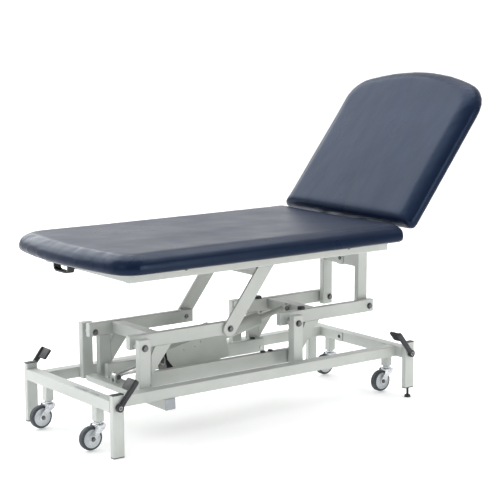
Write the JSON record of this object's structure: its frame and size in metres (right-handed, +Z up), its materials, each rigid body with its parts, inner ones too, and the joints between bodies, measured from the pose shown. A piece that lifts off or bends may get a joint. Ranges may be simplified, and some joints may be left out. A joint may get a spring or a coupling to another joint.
{
  "type": "examination couch",
  "caption": "Height-adjustable medical examination couch with a tilting backrest, a crank-arm lift on a welded base, and pedal-lowered castors.",
  "frame": {"origin": "on the floor under the middle of the couch's outer box, with the backrest raised as at rest", "axes": "+X towards the head end, +Y towards the far side, +Z up"},
  "size_m": [1.5932, 0.69, 1.1211],
  "materials": {
    "frame_paint": "satin powder coat",
    "black_plastic": "moulded",
    "zinc_steel": "zinc plated",
    "castor_zinc": "bright zinc plated",
    "castor_wheel": "grey non-marking rubber tread on a moulded hub",
    "actuator_plastic": "moulded",
    "actuator_cover": "satin",
    "plywood": "birch plywood",
    "navy_vinyl": "smooth PVC-coated upholstery fabric over foam",
    "black_enamel": "gloss enamel"
  },
  "bodies": {
    "base": {"near_side_rail": "frame_paint", "far_side_rail": "frame_paint", "foot_end_rail": "frame_paint", "head_end_rail": "frame_paint", "corner_posts": "frame_paint", "pivot_posts": "frame_paint", "post_caps": "black_plastic", "lower_cross_member": "frame_paint", "levelling_feet": "black_plastic", "castor_sockets": "frame_paint", "pivot_bolts": "zinc_steel"},
    "foot_crank": {"foot_arm_near": "frame_paint", "foot_arm_far": "frame_paint", "foot_arm_cross_tube": "frame_paint", "foot_crank_levers": "frame_paint", "torsion_tube": "frame_paint", "foot_crank_pins": "zinc_steel"},
    "head_crank": {"head_arm_near": "frame_paint", "head_arm_far": "frame_paint", "head_arm_cross_tube": "frame_paint", "head_crank_levers": "frame_paint", "head_crank_pins": "zinc_steel"},
    "near_link": {"near_link_bar": "frame_paint"},
    "far_link": {"far_link_bar": "frame_paint"},
    "rod": {"actuator_rod": "zinc_steel"},
    "housing": {"actuator_housing": "actuator_cover", "actuator_motor": "actuator_plastic", "actuator_cover": "actuator_cover"},
    "top_frame": {"near_top_rail": "frame_paint", "far_top_rail": "frame_paint", "top_cross_members": "frame_paint", "top_frame_lugs": "frame_paint", "slanted_legs": "frame_paint", "head_struts": "frame_paint", "top_frame_bolts": "zinc_steel", "seat_board": "plywood", "seat_cushion": "navy_vinyl", "handset_hook": "black_plastic"},
    "backrest": {"back_side_tubes": "frame_paint", "back_cross_tubes": "frame_paint", "back_board": "plywood", "back_cushion": "navy_vinyl"},
    "gas_spring_cylinder": {"gas_cylinder": "black_enamel"},
    "gas_spring_rod": {"gas_rod": "zinc_steel"},
    "foot_pedal": {"foot_pedal_shaft": "zinc_steel", "foot_pedals": "black_plastic"},
    "head_pedal": {"head_pedal_shaft": "zinc_steel", "head_pedals": "black_plastic"},
    "foot_near_stem": {"foot_near_castor_stem": "castor_zinc"},
    "foot_near_fork": {"foot_near_castor_fork": "castor_zinc"},
    "foot_near_wheel": {"foot_near_castor_wheel": "castor_wheel"},
    "foot_far_stem": {"foot_far_castor_stem": "castor_zinc"},
    "foot_far_fork": {"foot_far_castor_fork": "castor_zinc"},
    "foot_far_wheel": {"foot_far_castor_wheel": "castor_wheel"},
    "head_near_stem": {"head_near_castor_stem": "castor_zinc"},
    "head_near_fork": {"head_near_castor_fork": "castor_zinc"},
    "head_near_wheel": {"head_near_castor_wheel": "castor_wheel"},
    "head_far_stem": {"head_far_castor_stem": "castor_zinc"},
    "head_far_fork": {"head_far_castor_fork": "castor_zinc"},
    "head_far_wheel": {"head_far_castor_wheel": "castor_wheel"}
  },
  "joints": [
    {"name": "lift", "type": "hinge", "parent": "base", "child": "foot_crank", "pos_m": [-0.57511, 0, 0.302], "axis": [0, -1, 0], "range_deg": [-22, 42]},
    {"name": "head_crank_pivot", "type": "hinge", "parent": "base", "child": "head_crank", "pos_m": [0.03589, 0, 0.302], "axis": [0, -1, 0], "range_deg": [-22, 42]},
    {"name": "near_link_pivot", "type": "hinge", "parent": "foot_crank", "child": "near_link", "pos_m": [-0.53111, 0, 0.166], "axis": [0, -1, 0], "range_deg": [-42, 22]},
    {"name": "far_link_pivot", "type": "hinge", "parent": "foot_crank", "child": "far_link", "pos_m": [-0.53111, 0, 0.166], "axis": [0, -1, 0], "range_deg": [-42, 22]},
    {"name": "top_frame_pivot", "type": "hinge", "parent": "foot_crank", "child": "top_frame", "pos_m": [-0.21511, 0, 0.31], "axis": [0, -1, 0], "range_deg": [-42, 22]},
    {"name": "rod_pivot", "type": "hinge", "parent": "foot_crank", "child": "rod", "pos_m": [-0.56711, 0, 0.176], "axis": [0, -1, 0], "range_deg": [-42, 22]},
    {"name": "housing_pivot", "type": "hinge", "parent": "head_crank", "child": "housing", "pos_m": [0.11989, 0, 0.316], "axis": [0, -1, 0], "range_deg": [-42, 22]},
    {"name": "backrest_tilt", "type": "hinge", "parent": "top_frame", "child": "backrest", "pos_m": [0.38589, 0, 0.572], "axis": [0, -1, 0], "range_deg": [-52, 13]},
    {"name": "gas_cylinder_pivot", "type": "hinge", "parent": "top_frame", "child": "gas_spring_cylinder", "pos_m": [0.38489, 0, 0.5], "axis": [0, -1, 0], "range_deg": [-52, 13]},
    {"name": "gas_rod_pivot", "type": "hinge", "parent": "backrest", "child": "gas_spring_rod", "pos_m": [0.56345, 0, 0.75053], "axis": [0, -1, 0], "range_deg": [-13, 52]},
    {"name": "foot_pedal_press", "type": "hinge", "parent": "base", "child": "foot_pedal", "pos_m": [-0.73111, 0, 0.158], "axis": [0, 1, 0], "range_deg": [0, 60]},
    {"name": "head_pedal_press", "type": "hinge", "parent": "base", "child": "head_pedal", "pos_m": [0.45889, 0, 0.158], "axis": [0, -1, 0], "range_deg": [0, 60]},
    {"name": "foot_near_castor_drop", "type": "slide", "parent": "base", "child": "foot_near_stem", "axis": [0, 0, -1], "range_m": [0, 0.006]},
    {"name": "foot_near_castor_swivel", "type": "hinge", "parent": "foot_near_stem", "child": "foot_near_fork", "pos_m": [-0.73111, -0.155, 0.084], "axis": [0, 0, 1], "continuous": true},
    {"name": "foot_near_wheel_spin", "type": "hinge", "parent": "foot_near_fork", "child": "foot_near_wheel", "pos_m": [-0.75911, -0.155, 0.0405], "axis": [0, 1, 0], "continuous": true},
    {"name": "foot_far_castor_drop", "type": "slide", "parent": "base", "child": "foot_far_stem", "axis": [0, 0, -1], "range_m": [0, 0.006]},
    {"name": "foot_far_castor_swivel", "type": "hinge", "parent": "foot_far_stem", "child": "foot_far_fork", "pos_m": [-0.73111, 0.155, 0.084], "axis": [0, 0, 1], "continuous": true},
    {"name": "foot_far_wheel_spin", "type": "hinge", "parent": "foot_far_fork", "child": "foot_far_wheel", "pos_m": [-0.75911, 0.155, 0.0405], "axis": [0, 1, 0], "continuous": true},
    {"name": "head_near_castor_drop", "type": "slide", "parent": "base", "child": "head_near_stem", "axis": [0, 0, -1], "range_m": [0, 0.006]},
    {"name": "head_near_castor_swivel", "type": "hinge", "parent": "head_near_stem", "child": "head_near_fork", "pos_m": [0.45889, -0.155, 0.084], "axis": [0, 0, 1], "continuous": true},
    {"name": "head_near_wheel_spin", "type": "hinge", "parent": "head_near_fork", "child": "head_near_wheel", "pos_m": [0.43089, -0.155, 0.0405], "axis": [0, 1, 0], "continuous": true},
    {"name": "head_far_castor_drop", "type": "slide", "parent": "base", "child": "head_far_stem", "axis": [0, 0, -1], "range_m": [0, 0.006]},
    {"name": "head_far_castor_swivel", "type": "hinge", "parent": "head_far_stem", "child": "head_far_fork", "pos_m": [0.45889, 0.155, 0.084], "axis": [0, 0, 1], "continuous": true},
    {"name": "head_far_wheel_spin", "type": "hinge", "parent": "head_far_fork", "child": "head_far_wheel", "pos_m": [0.43089, 0.155, 0.0405], "axis": [0, 1, 0], "continuous": true}
  ],
  "couplings": [
    {"joint": "head_crank_pivot", "follows": "lift", "ratio": 1},
    {"joint": "near_link_pivot", "follows": "lift", "ratio": -1},
    {"joint": "far_link_pivot", "follows": "lift", "ratio": -1},
    {"joint": "top_frame_pivot", "follows": "lift", "ratio": -1},
    {"joint": "rod_pivot", "follows": "lift", "ratio": -0.883},
    {"joint": "housing_pivot", "follows": "lift", "ratio": -0.883},
    {"joint": "gas_cylinder_pivot", "follows": "backrest_tilt", "ratio": 0.85},
    {"joint": "gas_rod_pivot", "follows": "backrest_tilt", "ratio": -0.15},
    {"joint": "foot_near_castor_drop", "follows": "foot_pedal_press", "m_per_rad": 0.005724},
    {"joint": "foot_far_castor_drop", "follows": "foot_pedal_press", "m_per_rad": 0.005724},
    {"joint": "head_near_castor_drop", "follows": "head_pedal_press", "m_per_rad": 0.005724},
    {"joint": "head_far_castor_drop", "follows": "head_pedal_press", "m_per_rad": 0.005724}
  ]
}
